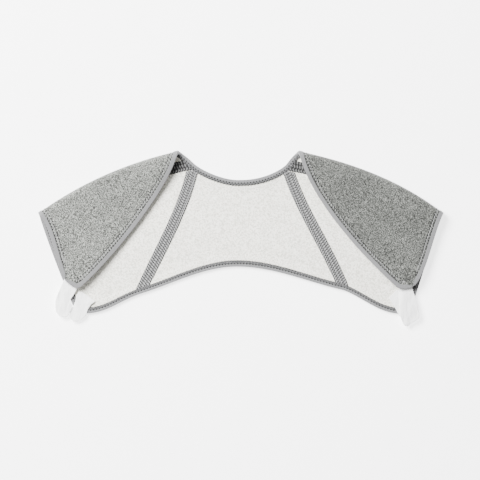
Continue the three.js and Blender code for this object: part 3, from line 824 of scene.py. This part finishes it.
# A binding's section: a folded strip with round edges, from its grey edge round to its lining edge
# and back inside. A row of stitches pulls its lining side in, by a bell of the distance from it.
# Gives x, y and how far it is pulled, the mask for the binding's painted shade.
def bindingProfile(liningWidth, row):
    wall, grey = bindings["wall"], bindings["grey"]
    under, over = -stack, thick + stack
    bow = np.radians(np.linspace(0, 90, 5))
    radius, edge = 0.8 * wall, bindings["edge"]
    greyX = np.linspace(grey - edge, radius, 10)
    liningX = np.linspace(radius, liningWidth - edge, 12)
    liningDip = np.exp(-(((liningX - row) / bindings["dipWidth"]) ** 2))
    outline = [
        (greyX, np.full_like(greyX, under), greyX * 0),
        (radius * (1 - np.sin(bow[1:])), under + radius * (1 - np.cos(bow[1:])), bow[1:] * 0),
        (radius * (1 - np.cos(bow)), over - radius * (1 - np.sin(bow)), bow * 0),
        (liningX[1:], over - bindings["dip"] * liningDip[1:], liningDip[1:]),
        (np.full(2, liningWidth), np.array([over - edge, over - wall + 0.2]), np.zeros(2)),
        (
            np.array([liningWidth - edge, wall, wall, grey - edge]),
            np.array([over - wall, over - wall, under + wall, under + wall]),
            np.zeros(4),
        ),
        (np.full(2, grey), np.array([under + wall - 0.2, under + edge]), np.zeros(2)),
    ]
    return [np.concatenate(parts) for parts in zip(*outline)]


# Faces of a tube through rings of points: quads from each ring to the next, and one face over each
# end
def tubeFaces(count, size):
    numbers = np.arange(count * size).reshape(count, size)
    after = np.roll(numbers, -1, axis=1)
    sides = np.stack([numbers[:-1], after[:-1], after[1:], numbers[1:]], axis=-1).reshape(-1, 4)
    return sides, [numbers[0][::-1], numbers[-1]]


# A binding: its section swept along the path. Its length, that of the path's middle, and its width,
# its flat area over its length, are worked out but not used
def addBinding(name, path, liningWidth, row):
    x, y, pullShade = bindingProfile(liningWidth, row)
    rings = path(x, y)
    sides, ends = tubeFaces(*rings.shape[:2])
    faces = sides.tolist() + [end.tolist() for end in ends]
    values = {"pullShade": np.tile(pullShade, len(rings))}
    look = looks["binding"]
    piece = addPiece(name + "_strip", rings.reshape(-1, 3), faces, look, "binding", values, name)
    length = float(lengthOf(np.diff(rings.mean(axis=1), axis=0)).sum()) * 0.001
    flatArea(piece) / length


# A flap's tip, from its outer edge to its front edge
def tipLeg(one):
    return edgeLeg(one, one.front, ("w", 1), 1, 0, (1, 1), brace["flapTipWidth"] * 1.3)


# The tip, the front edge up to the fold, and half of the neckline
def neckLegs(one):
    return [
        tipLeg(one),
        edgeLeg(one, one.front, ("u", 0), 1, 0, (1, 0), one.frontLong * 1.05),
        edgeLeg(one, one.centre, ("w", 1), 1, 0, (0, 0), one.centreWide * 0.7),
    ]


# A flap's outer edge up to the fold, then the back's down to its corner
def armholeLegs(one):
    return [
        edgeLeg(one, one.front, ("u", 1), 1, 0, (1, 0), one.frontLong * 0.7),
        edgeLeg(one, one.sideBack, ("u", 1), 1, 0, (0, 1), one.backHigh),
    ]


# Half of the hem, from its corner to the middle
def hemLegs(one):
    return [
        edgeLeg(one, one.sideBack, ("w", 0), 1, 0, (1, 0), one.seamLength * 0.6),
        edgeLeg(one, one.centre, ("w", 0), 1, 0, (0, 0), one.centreWide * 1.3),
    ]


paths = {
    "neck": pathOf(neckLegs(left) + neckLegs(right), 3),
    "left": pathOf(armholeLegs(left)),
    "right": pathOf(armholeLegs(right)),
    "hem": pathOf(hemLegs(left) + hemLegs(right), 2),
}
addBinding("neck_binding", paths["neck"], bindings["neckStrip"], bindings["neckRow"])
for side in ("left", "right"):
    addBinding("armhole_binding_" + side, paths[side], bindings["hemStrip"], bindings["hemRow"])
addBinding("hem_binding", paths["hem"], bindings["hemStrip"], bindings["hemRow"])

print("tapes")


# Thread from each start to each end: rings of six points round it, as thick as the radius in the
# middle and as taper says at both ends
def addThreads(name, starts, ends, normals, radius, look, slot, taper=0.4):
    nearEnd = (1 + taper) / 2 + 0.1
    girths = np.array([taper, nearEnd, 1.0, nearEnd, taper])
    places = np.array([0.0, 0.12, 0.5, 0.88, 1.0])
    turns = np.linspace(0, 2 * np.pi, 6, endpoint=False)[:, None]
    along = unit(ends - starts)
    across = unit(np.cross(along, normals))
    up = np.cross(across, along)
    centres = starts[:, None] + (ends - starts)[:, None] * places[:, None]
    around = across[:, None, None] * np.cos(turns) + up[:, None, None] * np.sin(turns)
    points = centres[:, :, None] + around * (radius * girths[:, None, None])
    sides, caps = tubeFaces(len(places), len(turns))
    first = np.arange(len(starts))[:, None] * len(places) * len(turns)
    allSides = (first[:, None] + sides[None]).reshape(-1, 4)
    allCaps = np.concatenate([first + cap[None] for cap in caps])
    faces = allSides.tolist() + allCaps.tolist()
    addPiece(name, points.reshape(-1, 3), faces, look, slot, crease=80)


# Ridges of a tape, from 0 to 1: a hump across each of three columns, a half sine to a power, times
# waves along the tape. Slant is how far a ridge runs along the tape for each mm across it.
def ridges(across, along, slant):
    column = (across * 0.5 + 0.5) * 3
    inColumn = column - np.floor(np.clip(column, 0, 2.999))
    hump = np.clip(np.sin(np.pi * inColumn), 0, 1) ** tapes["hump"]
    gone = along - slant * across * tapes["width"] / 2
    return hump * (0.5 + 0.5 * np.cos(2 * np.pi * gone / tapes["pitch"]))


tapes = {
    "width": 17.2,
    "thickness": 1.0,
    "pitch": 4.1,
    "raglanSlant": 1.35,  # mm that a ridge runs along the tape for each mm across it
    "shoulderSlant": -0.54,
    "hump": 0.55,  # power of the hump across a column: less is squarer
    "relief": 0.4,  # depth of the grooves between its ridges
    "edgeDrop": 0.55,  # how far its edges drop, and the least that it is thick there
    "least": 0.25,
    "edge": 0.5,  # how far its edges wave in and out
    "columns": 42,
    "step": 0.7,
    "stitchRows": 6,
    "stitch": 1.9,  # length of a dark stitch
    "stitchRadius": 0.9,
    "stitchTurn": 1.15,  # how far a stitch runs along for each mm across
    "stitchSink": 0.1,
    "room": 0.4,  # from the bindings to a raglan tape's ends, and to a shoulder tape's
    "shoulderRoom": 0.6,
}


# Dark stitches in rows along a tape, lying in the grooves between its ridges
def tapeStitches(name, first, second, length):
    half, pitch = tapes["width"] / 2, tapes["pitch"]
    depth = thick + cloth["gap"] + tapes["thickness"] - tapes["stitchSink"]
    starts, ends, ups = [], [], []
    for share in np.linspace(-1, 1, tapes["stitchRows"] * 2 + 1)[1::2]:
        offset = (0.5 * pitch + tapes["raglanSlant"] * share * half) % pitch
        mm = np.arange(offset + 0.3 * pitch, length - pitch * 0.3, pitch) - 0.3 * pitch
        sheet = first if share < 0 else second
        reach = np.full((len(mm), 1), abs(share) * half)

        def place(moreAcross, moreAlong, higher, sheet=sheet, reach=reach, mm=mm, share=share):
            level = np.full_like(reach, depth + higher)
            across = reach + np.sign(share) * moreAcross
            return sheet(across, (mm + moreAlong) / length, level)[:, 0]

        middle = place(0, 0, 0)
        across, along = unit(place(0.3, 0, 0) - middle), unit(place(0, 0.3, 0) - middle)
        lean = unit(across + along * tapes["stitchTurn"]) * tapes["stitch"] / 2
        starts.append(middle - lean)
        ends.append(middle + lean)
        ups.append(unit(place(0, 0, 0.5) - middle))
    joined = [np.concatenate(parts) for parts in (starts, ends, ups)]
    addThreads(name + "_stitches", *joined, tapes["stitchRadius"], looks["darkThread"], "tape")


# A tape over a seam's two sheets side by side: across runs from -1 on the first to 1 on the second.
# Its top lies a thickness over the lining, less the grooves and the drop at its edges.
def addTape(kind, one, first, second, length):
    name = kind + "_tape_" + one.name
    half = tapes["width"] / 2
    across = np.linspace(-1, 1, tapes["columns"] + 1)
    along = ticksFor(length, tapes["step"])
    mm = along * length
    grid = ridges(across[None, :], mm[:, None], tapes[kind + "Slant"])
    turns = 2 * np.pi * mm / tapes["pitch"]
    scallop = 1 - tapes["edge"] / half * (0.5 + 0.5 * np.cos(turns))[:, None]
    reach = half * across[None, :] * lerp(1.0, scallop, smooth((np.abs(across) - 0.7) / 0.3)[None, :])
    edgeOff = tapes["edgeDrop"] * smooth((np.abs(across) - 0.93) / 0.07)[None, :]
    height = tapes["thickness"] - tapes["relief"] * (1 - grid) - edgeOff
    under = thick + cloth["gap"]
    depths = [np.full_like(height, under), under + np.maximum(height, tapes["least"])]
    faces = []
    for depth in depths:
        onFirst = first(-np.minimum(reach, 0), along, depth)
        onSecond = second(np.maximum(reach, 0), along, depth)
        faces.append(np.where((across < 0)[None, :, None], onFirst, onSecond))
    points, quads = slab(*faces)
    values = {"ridge": np.concatenate([grid.ravel(), grid.ravel()])}
    piece = addPiece(name + "_strip", points, quads, looks[kind], "tape", values, name)
    if kind == "raglan":
        tapeStitches(name, first, second, length)
    wide = tapes["width"] * 0.001
    flatArea(piece) / wide


for one in (left, right):
    half = tapes["width"] / 2
    hemEnd = bindings["hemStrip"] - stack + tapes["room"]
    neckEnd = bindings["neckStrip"] - stack + tapes["room"]

    # Places on the tape of a raglan seam: reach is mm off the seam
    def onRaglan(sheet, seam, sign, topEnd, one=one):
        def points(reach, along, depth):
            atSeam = np.array([float(seam)])
            first, last = [offEdge(sheet, atSeam, np.array([end])) for end in (0.0, 1.0)]
            low, high = [seam + sign * reach * share[0] for share in (first, last)]
            bottomAt = hemEnd * offEdge(sheet, low, np.zeros_like(reach))[1]
            topAt = 1 - topEnd * offEdge(sheet, high, np.ones_like(reach))[1]
            w = lerp(bottomAt, topAt, along[:, None])
            share = offEdge(sheet, np.full_like(w, float(seam)), w)[0]
            return inCloth(one, sheet, seam + sign * reach * share, w, depth)

        return points

    addTape(
        "raglan",
        one,
        onRaglan(one.centre, 1, -1, neckEnd),
        onRaglan(one.sideBack, 0, 1, half + cloth["gap"]),
        one.raglanLength - hemEnd - neckEnd,
    )

    # Places on the tape of a shoulder seam: reach is mm off the seam, along goes out to the armhole
    def onShoulder(sheet, seam, sign, one=one):
        def points(reach, along, depth):
            fromNeck = bindings["neckStrip"] - stack + tapes["shoulderRoom"]
            lowEnd = lerp(fromNeck, 0.4, smooth(reach / 6)) if sign < 0 else fromNeck + 0 * reach
            lowAt = lowEnd * offEdge(sheet, np.array([0.0]), np.array([seam]))[0][0]
            highEnd = bindings["armhole"] - stack + tapes["shoulderRoom"]
            highAt = 1 - highEnd * offEdge(sheet, np.array([1.0]), np.array([seam]))[0][0]
            u = lerp(lowAt, highAt, along[:, None])
            share = offEdge(sheet, u, np.full_like(u, float(seam)))[1]
            return inCloth(one, sheet, u, seam + sign * reach * share, depth)

        return points

    addTape(
        "shoulder",
        one,
        onShoulder(one.sideBack, 1.0, -1),
        onShoulder(one.front, 0.0, 1),
        one.seamLength - bindings["neck"] - bindings["armhole"],
    )

print("tabs")

# Outlines of the tabs, row by row: shares of tab length down from the anchor, and of tab width out
tabRows = {
    "front_tab_left": [
        (0, -0.07, 0.72), (0.13, -0.01, 0.87), (0.25, 0.09, 0.99), (0.38, 0.3, 1.13),
        (0.47, 0.48, 1.18), (0.59, 0.28, 1.19), (0.69, 0.4, 1.16), (0.77, 0.51, 1.01),
        (0.81, 0.65, 0.85),
    ],
    "front_tab_right": [
        (0, -0.37, 0.42), (0.21, -0.24, 0.46), (0.39, -0.21, 0.62), (0.58, -0.2, 0.75),
        (0.75, -0.19, 0.83), (0.83, -0.14, 0.82), (0.9, -0.08, 0.58), (0.96, -0.01, 0.32),
        (1, 0.08, 0.22),
    ],
    "back_tab_left": [
        (-0.46, -0.32, -0.16), (-0.37, -0.63, -0.03), (-0.26, -1.03, 0.02), (-0.18, -0.79, 0.1),
        (-0.08, -0.63, 0.26), (0.05, -0.53, 0.36), (0.12, -0.34, 0.27), (0.17, -0.08, 0.13),
    ],
    "back_tab_right": [
        (-0.5, -0.65, -0.38), (-0.41, -0.88, -0.17), (-0.33, -1.07, 0.09), (-0.22, -0.91, 0.17),
        (-0.11, -0.74, 0.2), (0, -0.6, 0.17), (0.07, -0.49, 0.06),
    ],
}


# A tab: rows between its outlines, creased by two crossing waves, its edges rounded off by a circle.
# It lies over the bound edges of the back and sags past them; level is its height above them.
def addTab(name, one, anchor, level):
    down, inner, outer = np.array(tabRows[name], float).T
    rows = np.linspace(down[0], down[-1], 70)
    sides = [np.interp(rows, down, edge) for edge in (inner, outer)]
    share = 0.5 - 0.5 * np.cos(np.pi * np.linspace(0, 1, 33))
    x = lerp(sides[0][:, None], sides[1][:, None], share[None, :]) * tabs["width"]
    y = np.broadcast_to(-rows[:, None] * tabs["length"], x.shape)
    plan = np.stack([anchor[0] + x, anchor[1] + y], axis=-1)
    widest = max(bindings["armhole"], bindings["hem"]) + tabs["margin"]
    under = thick + 2 * liftNear(one.fromBackEdge(plan), widest) + level
    px, py = plan[..., 0], plan[..., 1]
    crease = np.sin(px / 5.1 + py / 9.7) + np.sin(py / 4.3 - px / 13.0)
    border = np.minimum(np.minimum(x - x[:, :1], x[:, -1:] - x), np.minimum(y[:1] - y, y - y[-1:]))
    inside = np.clip(border / tabs["round"], 0, 1)
    full = np.sqrt(1 - (1 - inside) ** 2)
    middle = under + tabs["thickness"] / 2 + tabs["crease"] / 2 * crease * smooth(border / 6) * 0.5
    halfThick = tabs["thickness"] / 2 * lerp(0.25, 1.0, full)
    mirror = np.array([one.side, 1, 1])
    grids = [raised(plan, middle + sign * halfThick) * mirror for sign in (-1, 1)]
    points, faces = slab(*grids)
    piece = addPiece(name + "_strip", points, faces, looks["tab"], "tab", node=name, crease=80)
    flatArea(piece)
    return piece


for one in (left, right):
    name, below = "back_tab_" + one.name, ["hem_binding_strip"]
    backTab = addTab(name, one, one.lowerCorner, backTabLevel)
    addTab("front_tab_" + one.name, one, one.tabStart, frontTabLevel)

print("stitches")


# Even places along a row, at a pitch: points, directions along, directions in from the edge, and
# up. Each is read off the path's own lines at that length.
def rowOf(path, x, y, up, pitch, first=0.0):
    lines = path([x, x + 0.5, x], [y, y, y + up * 0.5])
    line, inner, higher = lines[:, 0], lines[:, 1], lines[:, 2]
    gone = np.concatenate([[0], np.cumsum(lengthOf(np.diff(line, axis=0)))])
    places = np.arange(first + pitch, gone[-1] - pitch, pitch)

    def pick(values):
        return np.stack([np.interp(places, gone, values[:, k]) for k in range(3)], axis=1)

    points, inwards, upwards = pick(line), pick(inner - line), pick(higher - line)
    along = unit(pick(np.gradient(line, axis=0)))
    return points, along, unit(inwards), unit(upwards)


stitches = {
    "pitch": 4.5,
    "dot": 2.3,  # length of a dark stitch
    "radius": 0.85,
    "dotRadius": 1.1,  # of the dark stitches on the lining side
    "tooth": 0.7,  # radius of the thread of the teeth
    "flapRows": (7.0, 11.4),  # rows on the grey side, in from the outline
    "loops": 9.3,  # light thread between those rows
    "neckRows": (4.9, 8.9),  # dark row and teeth's tips on the lining side
    "hemRows": (4.7, 9.7),
}


# Cover stitch on the lining side: a row of dark stitches on the strip, teeth that run in from it
# over the lining, and a second dark row between their tips
def liningStitches(name, path, row, tip):
    over = thick + stack
    grey, dark = looks["greyThread"], looks["darkThread"]
    points, along, inwards, up = rowOf(path, row, over, 1, stitches["pitch"])
    dot = along * stitches["dot"] / 2
    tips = points + inwards * (tip - row) - up * (stack - 0.9)
    half = along * stitches["pitch"] * 0.42
    base = points + up * 0.15 + inwards * 0.6
    starts = np.concatenate([base - half, base, base + half])
    ends = np.concatenate([tips, tips - inwards * 0.8, tips])
    ups = np.tile(up, (3, 1))
    addThreads(name + "_teeth", starts, ends, ups, stitches["tooth"], grey, "binding", 0.8)
    inner = points + along * stitches["pitch"] / 2 + inwards * (tip - row - 1.1) - up * (stack - 0.7)
    starts = np.concatenate([points - dot, inner - dot * 0.7])
    ends = np.concatenate([points + dot, inner + dot * 0.7])
    ups = np.tile(up, (2, 1))
    addThreads(name + "_dots", starts, ends, ups, stitches["dotRadius"], dark, "binding")


# Cover stitch on the grey side: two rows of dark stitches with lighter thread between them
def flapStitches(name, path):
    light, dark = looks["lightThread"], looks["darkThread"]
    for k, row in enumerate(stitches["flapRows"]):
        points, along, inwards, up = rowOf(path, row, -0.1, -1, stitches["pitch"], k * 2.2)
        dot = along * stitches["dot"] / 2 + inwards * 0.3
        label = name + "_row" + str(k + 1)
        addThreads(label, points - dot, points + dot, up, stitches["radius"], dark, "binding")
    points, along, inwards, up = rowOf(path, stitches["loops"], -0.1, -1, stitches["pitch"], 1.1)
    loop = along * 0.9 + inwards * 1.3
    addThreads(name + "_loops", points - loop, points + loop, up, 0.5, light, "binding")


liningStitches("neck_stitches", paths["neck"], *stitches["neckRows"])
liningStitches("hem_stitches", paths["hem"], *stitches["hemRows"])
for side in ("left", "right"):
    liningStitches("armhole_stitches_" + side, paths[side], *stitches["hemRows"])
for one in (left, right):
    flapStitches("front_stitches_" + one.name, pathOf(neckLegs(one)[:2]))
    flapStitches("arm_stitches_" + one.name, pathOf(armholeLegs(one)[:1]))

print("floor, light and camera")

setup = {
    "cameraHeight": 5.0,
    "middle": (-0.0011, -0.0248),
    "across": 0.7104,  # metres across the picture
    "sensor": 36,
    "keyPower": 370,
    "keySize": 1.6,
    "keyAt": (-1.3, 1.1, 2.1),
    "worldStrength": 0.6,
    "floorGlow": 2.6,
    "floorReach": 3.0,
    "floorHeight": -0.0002,
}


# Almost white, with a faint mottling and a glow of its own
def floorLook():
    look = Look("floor", 0.9)
    speck = look.noise(25, 2, 0.5)
    look.color(look.ramp(speck, [(0.3, 0.93), (0.7, 0.95)]))
    look.shader.inputs["Emission Color"].default_value = (1, 1, 1, 1)
    look.shader.inputs["Emission Strength"].default_value = setup["floorGlow"]
    return look.material


floorMesh = bpy.data.meshes.new("floor")
reach, height = setup["floorReach"], setup["floorHeight"]
corners = [(x * reach, y * reach, height) for x, y in ((-1, -1), (1, -1), (1, 1), (-1, 1))]
floorMesh.from_pydata(corners, [], [(0, 1, 2, 3)])
floorMesh.materials.append(floorLook())
floor = placed("floor", floorMesh)

keyLight = bpy.data.lights.new("key", "AREA")
keyLight.shape = "DISK"
keyLight.size = setup["keySize"]
keyLight.energy = setup["keyPower"]
key = placed("key", keyLight)
key.location = setup["keyAt"]
key.rotation_euler = (-Vector(setup["keyAt"])).to_track_quat("-Z", "Y").to_euler()

world = bpy.data.worlds.new("studio")
world.use_nodes = True
world.node_tree.nodes["Background"].inputs["Color"].default_value = (1.0, 1.0, 1.0, 1)
world.node_tree.nodes["Background"].inputs["Strength"].default_value = setup["worldStrength"]
bpy.context.scene.world = world

lens = bpy.data.cameras.new("above")
lens.sensor_width = setup["sensor"]
lens.lens = setup["sensor"] * setup["cameraHeight"] / setup["across"]
lens.clip_end = 20
camera = placed("above", lens)
camera.location = (*setup["middle"], setup["cameraHeight"])
bpy.context.scene.camera = camera
